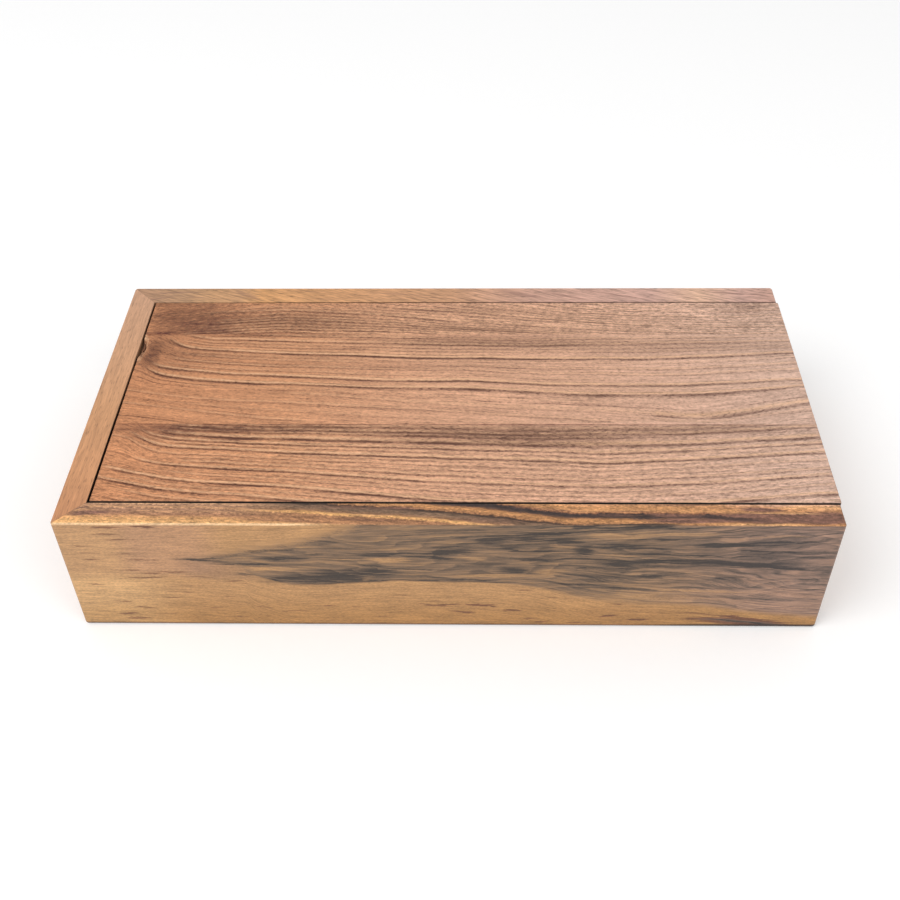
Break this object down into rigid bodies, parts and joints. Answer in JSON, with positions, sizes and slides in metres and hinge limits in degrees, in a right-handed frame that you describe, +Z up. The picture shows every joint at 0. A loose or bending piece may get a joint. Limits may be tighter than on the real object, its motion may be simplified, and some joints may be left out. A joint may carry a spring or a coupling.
{
  "type": "photo print storage box",
  "caption": "Shallow wooden box for a stack of photo prints, with a glued-up lid that slides in grooves and out over a low end wall, and a cross wall inside.",
  "frame": {"origin": "on the surface that the box stands on, under the middle of the box's bounds with the lid closed", "axes": "+X along the box, the way that the lid slides open; +Y from the front wall to the back wall; +Z up"},
  "size_m": [0.2546, 0.1294, 0.0512],
  "materials": {
    "front_wall": "oiled, satin",
    "back_wall": "oiled, satin",
    "closed_end_wall": "oiled, satin",
    "open_end_wall": "oiled, satin",
    "bottom_panel": "sanded, satin",
    "compartment_divider": "sanded, satin",
    "lid_front_board": "open-grained, oiled",
    "lid_middle_board": "open-grained, oiled",
    "lid_back_board": "open-grained, oiled",
    "mitre_spline": "bare wood",
    "dowel": "bare wood"
  },
  "bodies": {
    "box": {"front_wall": "front_wall", "back_wall": "back_wall", "closed_end_wall": "closed_end_wall", "open_end_wall": "open_end_wall", "bottom_panel": "bottom_panel", "compartment_divider": "compartment_divider", "front_mitre_spline": "mitre_spline", "back_mitre_spline": "mitre_spline", "front_lower_dowel": "dowel", "front_upper_dowel": "dowel", "back_lower_dowel": "dowel", "back_upper_dowel": "dowel"},
    "lid": {"lid_front_board": "lid_front_board", "lid_middle_board": "lid_middle_board", "lid_back_board": "lid_back_board"}
  },
  "joints": [
    {"name": "lid_slide", "type": "slide", "parent": "box", "child": "lid", "axis": [1, 0, 0], "range_m": [0, 0.254]}
  ]
}
